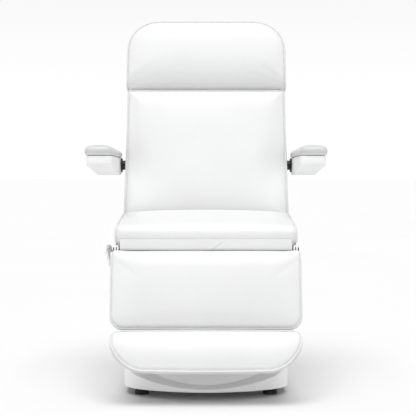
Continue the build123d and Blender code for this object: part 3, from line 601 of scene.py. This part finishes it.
def pad(name, body, replaced, rings, place, seams, cap, back_limit, voxel=0.006, shape=None,
        welt=0.0027, material=None, groove=0.0022):
    """A stuffed cushion: a closed cover, remeshed, swollen by cloth pressure, then seams and piping."""
    obj = new_object(name, loft(name, rings))
    remesh = obj.modifiers.new("remesh", "REMESH")
    remesh.mode = "VOXEL"
    remesh.voxel_size = voxel
    relax = obj.modifiers.new("relax", "SMOOTH")
    relax.factor = 0.5
    relax.iterations = 3
    bake(obj)
    co = points_of(obj.data)
    if shape:
        co = shape(co)
        set_points(obj.data, co)
    tree = seam_tree(seams)
    away, _ = distances(co, tree)
    held = np.clip(1.3 - away / SEAM_HOLD, 0, 1)
    held = np.maximum(held, np.clip((back_limit - co[:, 2]) / BACK_HOLD, 0, 1))
    inflate(obj, held, cap)
    finish = obj.modifiers.new("finer", "SUBSURF")
    finish.levels = finish.render_levels = 1
    bake(obj)
    co = points_of(obj.data)
    normal = normals_of(obj.data)
    away, nearest = distances(co, tree)
    # the cover is drawn in beside the piping, with small puckers from the stitching
    pull = np.exp(-((away - GROOVE_AWAY) / GROOVE_WIDE) ** 2) * groove
    phase = nearest * 0.004 * 2 * math.pi
    waves = np.sin(phase / 0.031) + 0.6 * np.sin(phase / 0.0173 + 1.3)
    pucker = PUCKER_DEEP * np.exp(-away / 0.011) * waves
    co = co - normal * (pull - pucker)[:, None]
    set_points(obj.data, co)
    smooth(obj.data)
    surface = BVHTree.FromPolygons([Vector(p) for p in co], [tuple(p.vertices) for p in obj.data.polygons])
    parts = []
    for path, closed in seams:
        line = finer(path, 0.005, closed)
        laid = []
        for p in line:
            where, out, _, _ = surface.find_nearest(Vector(p))
            laid.append(np.array(where + out * welt * 0.62))
        laid = np.array(laid)
        for _ in range(3):
            again = (np.roll(laid, 1, 0) + np.roll(laid, -1, 0) + 2 * laid) / 4
            if not closed:
                again[0], again[-1] = laid[0], laid[-1]
            laid = again
        parts.append(tube(laid, welt, closed))
    piping = joined(name + "_piping", parts)
    for piece, finish_material in ((obj, material or VINYL), (piping, PIPING)):
        piece.data.transform(place)
        piece.data.update()
        dress(piece, finish_material)
        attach(piece, body)
    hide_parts(*replaced)


def face_rings(outline, steps):
    """Rings from steps of (inset, inset of the lower or upper edge, height)."""
    return [[(p[0], p[1], height) for p in outline(inset, edge)] for inset, edge, height in steps]


def metres(ring):
    return np.array(ring, float) * MM


# back cushion
def back_outline(inset, low):
    return box_loop(-305, 305, 19, 585, 22, 14, inset, low)


BACK_STEPS = (
    (60, 60, 14.0), (14, 14, 14.0), (4, 4, 17.0), (1, 1, 26.0), (0, 0, 48.0), (1, 3, 66.0), (4, 9, 78.0),
    (7, 18, 86.5), (12, 30, 91.5), (24, 50, 95.0), (48, 80, 97.0), (100, 118, 98.0), (170, 178, 98.4),
)
back_seam = metres([(p[0], p[1], 84.0) for p in back_outline(4.6, 14)])
back_rear_seam = metres([(p[0], p[1], 19.0) for p in back_outline(4, 4)])


def back_shape(co):
    """Side panels fall away at armrest height, and the lower back is fuller."""
    front = np.clip((co[:, 2] - 0.060) / 0.03, 0, 1)
    up, across = co[:, 1], np.abs(co[:, 0]) / 0.305
    waist = np.exp(-((up - 0.235) / 0.11) ** 2)
    side = np.clip((across - 0.66) / 0.34, 0, 1) ** 1.6
    lumbar = np.exp(-((up - 0.20) / 0.15) ** 2) * (1 - np.clip(across, 0, 1) ** 2)
    foot = np.clip((0.20 - up) / 0.18, 0, 1) ** 2
    out = co.copy()
    out[:, 2] += front * (0.0030 * lumbar - 0.026 * waist * side - 0.012 * foot)
    out[:, 0] += np.sign(co[:, 0]) * 0.0045 * np.clip((0.45 - up) / 0.45, 0, 1) * np.clip(across, 0, 1) ** 6
    return out


pad("back_cushion_cover", "back", ["back_cushion"], face_rings(back_outline, BACK_STEPS), BACK,
    [(back_shape(back_seam), True), (back_shape(back_rear_seam), True)], 0.007, 0.020, shape=back_shape)


# head cushion: larger top corners, fuller front and a deep roll along its lower edge
def head_outline(inset, low):
    return box_loop(-309, 309, 588, 874, 12, 129, inset, low, arc=16)


HEAD_STEPS = (
    (60, 60, 14.0), (12, 14, 14.0), (4, 5, 17.0), (1, 2, 26.0), (0, 0, 54.0), (0, 3, 76.0), (1.5, 9, 92.0),
    (5.5, 18, 102.0), (10, 28, 108.0), (19, 42, 112.5), (36, 60, 115.5), (64, 82, 117.5), (100, 106, 118.5),
)
head_line = [(p[0], p[1], 101.0) for p in head_outline(5.0, 16)]
# the piping runs up the +X side, over the top and down the -X side
head_side = [p for p in head_line if p[1] > 612]
head_tail = [(head_side[-1][0], 600, 88.0), (head_side[-1][0] + 1, 592, 72.0)]
head_lead = [(head_side[0][0] - 1, 592, 72.0), (head_side[0][0], 600, 88.0)]
head_seam = metres(head_lead + head_side + head_tail)
head_rear_seam = metres([(p[0], p[1], 19.0) for p in head_outline(3.5, 4)])


def head_shape(co):
    """Fullest above the middle, tapering to the seam under it and a little to the top."""
    front = np.clip((co[:, 2] - 0.066) / 0.03, 0, 1)
    low = np.clip((0.735 - co[:, 1]) / 0.147, 0, 1) ** 2
    high = np.clip((co[:, 1] - 0.780) / 0.092, 0, 1) ** 2
    out = co.copy()
    out[:, 2] += front * (0.003 - 0.017 * low - 0.006 * high)
    return out


pad("head_cushion_cover", "back", ["head_cushion"], face_rings(head_outline, HEAD_STEPS), BACK,
    [(head_shape(head_seam), False), (head_rear_seam, True)], 0.007, 0.020, shape=head_shape)


# seat cushion: one panel over the top and down the front, with a gusset at each side
SEAT_LOW, SEAT_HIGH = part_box("seat_cushion")
SEAT_REAR_TOP = SEAT_HIGH.y / MM
SEAT_REAR_LOW = SEAT_REAR_TOP - (SEAT_HIGH.z - SEAT_LOW.z) / MM * math.tan(math.radians(BACK_LEAN))
SEAT_FRONT_Z = 577.0
SEAT_BACK_Z = 616.0


def seat_outline(inset):
    corners = (
        (-320.5, 508), (SEAT_REAR_LOW - 0.5, 508), (SEAT_REAR_TOP - 2, SEAT_BACK_Z - 6),
        (-320.5, SEAT_FRONT_Z - 2),
    )
    return rounded_loop(corners, (20, 9, 10, 32), inset, arc=10, run=22)


SEAT_STEPS = (
    (-308.5, 32), (-308.8, 16), (-307.5, 7), (-305.0, 2.8), (-301.5, 1.2), (-296, 0.6), (-280, 0.0),
    (-240, 0.0), (-160, 0.0), (-80, 0.0), (0, 0.0),
)
seat_rings = [[(x, p[0], p[1]) for p in seat_outline(inset)] for x, inset in SEAT_STEPS]
seat_rings += [[(-x, p[0], p[1]) for p in seat_outline(inset)] for x, inset in reversed(SEAT_STEPS[:-1])]
seat_seams = []
for sx in (-1, 1):
    loop = [(sx * 302.5, p[0], p[1]) for p in seat_outline(1.0)]
    seat_seams.append((metres(loop), True))


def seat_shape(co):
    """Top crowned across the seat, rear corners lower, front face slightly full."""
    across = np.clip(np.abs(co[:, 0]) / 0.301, 0, 1)
    top = np.clip((co[:, 2] - 0.545) / 0.03, 0, 1)
    rear = np.clip((co[:, 1] + 0.28) / 0.34, 0, 1)
    out = co.copy()
    out[:, 2] += top * (0.002 + 0.006 * rear) * (1 - across ** 2.4)
    return out


pad("seat_cushion_cover", "seat", ["seat_cushion"], seat_rings, FLAT, seat_seams, 0.0045, 0.512,
    shape=seat_shape)


# leg rest cushion: the panel rolls over the top edge, piping down both sides and along the bottom
def leg_outline(inset, top):
    corners = ((-319, -279), (319, -279), (319, -5.5), (-319, -5.5))
    return rounded_loop(corners, (46, 46, 18, 18), (inset, inset, top, inset), 10, 20)


LEG_STEPS = (
    (60, 60, -17.0), (16, 16, -17.0), (5, 5, -15.0), (1.5, 2, -8.0), (0, 0, 8.0), (0.6, 2, 18.0),
    (2.8, 6, 26.0), (8, 14, 33.0), (15, 24, 36.5), (27, 38, 39.5), (50, 58, 42.0), (86, 88, 43.5),
    (120, 120, 44.0),
)
leg_line = [(p[0], p[1], 27.0) for p in leg_outline(4.2, 10)]
leg_piping = sorted([p for p in leg_line if p[1] < -34], key=lambda p: math.atan2(p[1] + 34, p[0]))
leg_piping.insert(0, (-315.0, -24, 22.0))
leg_piping.insert(0, (-315.5, -15, 12.0))
leg_piping += [(315.0, -24, 22.0), (315.5, -15, 12.0)]


def leg_shape(co):
    """Fullest near the top, falling back toward the bottom edge."""
    front = np.clip((co[:, 2] + 0.004) / 0.022, 0, 1)
    low = np.clip((-co[:, 1] - 0.060) / 0.216, 0, 1) ** 1.8
    out = co.copy()
    out[:, 2] += front * (0.0035 * (1 - low) - 0.019 * low)
    return out


leg_seam = leg_shape(metres(leg_piping))
leg_rear_seam = metres([(p[0], p[1], -14.0) for p in leg_outline(4.0, 4)])
pad("leg_cushion_cover", "leg_rest", ["leg_cushion"], face_rings(leg_outline, LEG_STEPS), LEG,
    [(leg_seam, False), (leg_rear_seam, True)], 0.006, -0.012, shape=leg_shape)


# foot pad: D shape with slightly bulging sides
def foot_outline(inset, low):
    loop = box_loop(-313, 313, -140, 4, 112, 26, inset, low, arc=16, run=30)
    across = np.clip(1 - (loop[:, 0] / 313) ** 2, 0, 1)
    loop[:, 1] -= 7.0 * across * np.clip((-loop[:, 1] - 60) / 80, 0, 1)
    near_top = np.clip((loop[:, 1] + 40) / 39, 0, 1)
    loop[:, 1] += 3.0 * across * near_top - 3.0 * near_top
    return loop


FOOT_STEPS = (
    (50, 50, -39.5), (12, 12, -39.5), (3, 3, -38.5), (0.5, 0.5, -36.0), (0, 0, -30.0), (0.8, 0.8, -17.0),
    (2.6, 3, -11.5), (7, 8, -7.5), (15, 17, -4.2), (27, 29, -1.6), (44, 46, 0.4), (60, 60, 1.0),
)
foot_seam = metres([(p[0], p[1], -11.5) for p in foot_outline(2.2, 2.4)])
foot_rear_seam = metres([(p[0], p[1], -38.0) for p in foot_outline(2.4, 2.4)])


def foot_shape(co):
    """The sides bulge a little; the face is fullest above the middle and falls back to the lower edge."""
    bulge = np.clip(1 - ((co[:, 1] + 0.052) / 0.052) ** 2, 0, 1)
    side = np.clip(np.abs(co[:, 0]) / 0.313, 0, 1) ** 8
    out = co.copy()
    out[:, 0] += np.sign(co[:, 0]) * 0.0035 * bulge * side
    face = np.clip((co[:, 2] + 0.030) / 0.022, 0, 1)
    full = np.clip(1 - ((co[:, 1] + 0.055) / 0.066) ** 2, 0, 1)
    low = np.clip((-co[:, 1] - 0.052) / 0.095, 0, 1) ** 1.6
    out[:, 2] += face * (0.006 * full - 0.017 * low)
    return out


foot_seams = [(foot_shape(foot_seam), True), (foot_shape(foot_rear_seam), True)]
pad("foot_cushion_cover", "foot_pad", ["foot_cushion"], face_rings(foot_outline, FOOT_STEPS), FOOT,
    foot_seams, 0.005, -0.036, voxel=0.005, shape=foot_shape)


# ---------------------------------------------------------------- rear cover
# moulded tray with a raised panel: (inset, height) steps from the panel round the rim to the inner floor
COVER_OUTSIDE = (
    (150, -34.0), (70, -34.0), (46, -33.8), (43, -33.2), (41, -31.6), (39, -31.0), (27, -30.6), (16, -28.6),
    (9, -25.0), (4, -19.0), (1.2, -11.0), (0.2, -2.0), (0, 6.0), (0, 11.6),
)
COVER_INSIDE = (
    (0.5, 12.7), (1.5, 13.0), (2.5, 12.7), (3, 11.6), (3.2, -2.0), (4.2, -10.0), (7, -17.0), (12, -22.4),
    (18, -25.6), (30, -27.4), (50, -27.8), (150, -27.8),
)
cover_rings = []
for inset, height in COVER_OUTSIDE + COVER_INSIDE:
    loop = box_loop(-297, 297, 75, 864, 34, 126, inset, inset, arc=24, run=36)
    cover_rings.append([(p[0], p[1], height) for p in loop])
cover = new_object("back_cover_moulding", loft("back_cover_moulding", cover_rings))
smooth(cover.data)
cover.data.transform(BACK)
cover.data.update()
dress(cover, WHITE)
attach(cover, "back")
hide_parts("back_cover")


# ---------------------------------------------------------------- armrests
PAD_RIM = 813.4         # height of the pad's underside at the front
RIM_FALL = 3.0          # and how far it and the shell's rim fall to the rear
SHELL_ARC, SHELL_RUN = 14, 90


def straight(table, at):
    xs, ys = zip(*table)
    return float(np.interp(at, xs, ys))


def armrest(word, sx):
    """One armrest: the upholstered pad and the moulded shell under it."""
    body = "armrest_" + word
    low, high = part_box("arm_pad_" + word)
    shell_low, shell_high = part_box("arm_shell_" + word)
    x0, x1 = low.x / MM, high.x / MM
    y0, y1 = low.y / MM, high.y / MM
    # the pad reaches 3 mm further out on its outer side
    reach = (0.0, 3.0) if sx > 0 else (3.0, 0.0)

    def pad_outline(inset):
        return box_loop(x0 + 0.5 - reach[0], x1 - 0.5 + reach[1], y0 + 0.5, y1 - 0.5, 24, 16, inset, run=26)

    steps = (
        (14, 0.0), (5, 0.4), (1.5, 2.5), (0, 9.0), (0, 17.0), (1.6, 24.0), (5, 29.5), (11, 33.2), (20, 35.0),
        (34, 35.8),
    )
    rings = []
    for inset, rise in steps:
        ring = []
        for p in pad_outline(inset):
            share = (p[1] - y0) / (y1 - y0)
            bottom = PAD_RIM - RIM_FALL * share
            ring.append((p[0], p[1], bottom + rise * (1 - 0.16 * share)))
        rings.append(ring)
    seam = []
    for p in pad_outline(0.8):
        share = (p[1] - y0) / (y1 - y0)
        seam.append((p[0], p[1], PAD_RIM - RIM_FALL * share + 4.2))
    pad("arm_pad_cover_" + word, body, ["arm_pad_" + word], rings, FLAT, [(metres(seam), True)], 0.0035,
        0.8155, voxel=0.005, material=ARM_VINYL, welt=0.0018, groove=0.0012)

    # shell: rounded upright corners, underside that deepens to the pivot
    s0, s1 = shell_low.x / MM, shell_high.x / MM
    f0, f1 = shell_low.y / MM, shell_high.y / MM
    under = (
        (f0, 786), (f0 + 10, 781), (f0 + 26, 776), (f1 - 95, 746.5), (f1 - 82, 745.3), (f1 - 30, 745.3),
        (f1 - 22, 749), (f1, 775),
    )
    shell_rings = []
    turn = [math.radians(9 * k) for k in range(11)]
    levels = [(0.0, 18.0), (0.0, 6.0), (0.0, 1.2), (0.008, 0.35), (0.03, 0.0), (0.3, 0.0), (0.6, 0.0)]
    levels += [(0.90 + 0.10 * math.sin(a), 4.5 * (1 - math.cos(a))) for a in turn]
    levels += [(1.0, 7.0), (1.0, 18.0)]
    for deep, inset in levels:
        ring = []
        for p in box_loop(s0, s1, f0, f1, 20, 20, inset, arc=SHELL_ARC, run=SHELL_RUN):
            rim = 813.0 - RIM_FALL * (p[1] - f0) / (f1 - f0)
            floor = straight(under, p[1])
            ring.append((p[0], p[1], rim + (floor - rim) * deep))
        shell_rings.append(ring)
    # a corner has SHELL_ARC + 1 points and a side SHELL_RUN - 1 more, so this point lies opposite point 0
    opposite = 2 * SHELL_ARC + SHELL_RUN
    shell_mesh = loft("arm_shell_moulding_" + word, list(reversed(shell_rings)), mirror=opposite)
    shell = new_object("arm_shell_moulding_" + word, shell_mesh)
    smooth(shell.data)
    dress(shell, SHELL)
    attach(shell, body)
    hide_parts("arm_shell_" + word)


for word, sx in (("left", 1), ("right", -1)):
    armrest(word, sx)

# ---------------------------------------------------------------- gap strip above the leg rest
# its section as (y, z) in metres, from the leg rest forward and up to the front of the seat
FLAP_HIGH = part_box("gap_flap")[1]
flap_line = np.array([
    (-0.2995, 0.4800), (-0.3085, 0.4880), (-0.3180, 0.4922), (-0.3250, 0.4950), (-0.3274, 0.5000),
    (-0.3268, 0.5080), (-0.3252, 0.5180), (-0.3234, 0.5275), (-0.3228, 0.5300),
])
FLAP_COLUMNS = 180
FLAP_HALF = FLAP_HIGH.x + 0.011
path = finer(np.column_stack([np.zeros(len(flap_line)), flap_line]), 0.0018, False)
flap_points, flap_faces = [], []
rows = len(path)
for i, p in enumerate(path):
    share = i / (rows - 1)
    for c in range(FLAP_COLUMNS + 1):
        x = -FLAP_HALF + 2 * FLAP_HALF * c / FLAP_COLUMNS
        # slack folds: one diagonal crease right of the middle and soft ripples toward its ends
        crease = x - 0.036 - (p[2] - 0.512) * 1.5
        fold = 0.0016 * math.exp(-(crease / 0.0055) ** 2)
        fold -= 0.0010 * math.exp(-((crease - 0.013) / 0.009) ** 2)
        ripple = 0.0007 * math.sin(x * 37 + 1.1) * math.sin(x * 11.0 + p[2] * 60)
        free = math.sin(math.pi * min(1.0, max(0.0, share * 0.97))) ** 0.7
        flap_points.append((x, p[1] - (fold + ripple) * free, p[2] + 0.0005 * math.sin(x * 23) * free))
for i in range(rows - 1):
    for c in range(FLAP_COLUMNS):
        a = i * (FLAP_COLUMNS + 1) + c
        flap_faces.append((a, a + 1, a + FLAP_COLUMNS + 2, a + FLAP_COLUMNS + 1))
flap_mesh = bpy.data.meshes.new("gap_strip")
flap_mesh.from_pydata(flap_points, [], flap_faces)
flap = new_object("gap_strip", flap_mesh)
thick = flap.modifiers.new("thick", "SOLIDIFY")
thick.thickness = 0.0012
thick.offset = 0.0
bake(flap)
smooth(flap.data)
dress(flap, VINYL)
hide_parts("gap_flap")
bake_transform(flap)

# ---------------------------------------------------------------- floor
FAR = 200
floor_mesh = bpy.data.meshes.new("floor")
floor_mesh.from_pydata([(-FAR, -FAR, 0), (FAR, -FAR, 0), (FAR, FAR, 0), (-FAR, FAR, 0)], [], [(0, 1, 2, 3)])
floor = new_object("floor", floor_mesh)
f = Nodes("floor_paint")
f.bump(f.noise(220.0, 3.0), 0.0002, 0.08)
floor_tone = f.span(f.noise(0.8, 3.0), 0.3, 0.7, 0.0, 1.0)
floor_colour = f.blend_colours(floor_tone, (0.800, 0.800, 0.800), (0.790, 0.790, 0.790))
floor_gloss = f.span(f.noise(3.0, 2.0), 0.3, 0.7, 0.68, 0.74)
floor_mesh.materials.append(f.done(floor_colour, floor_gloss, Specular_IOR_Level=0.25))
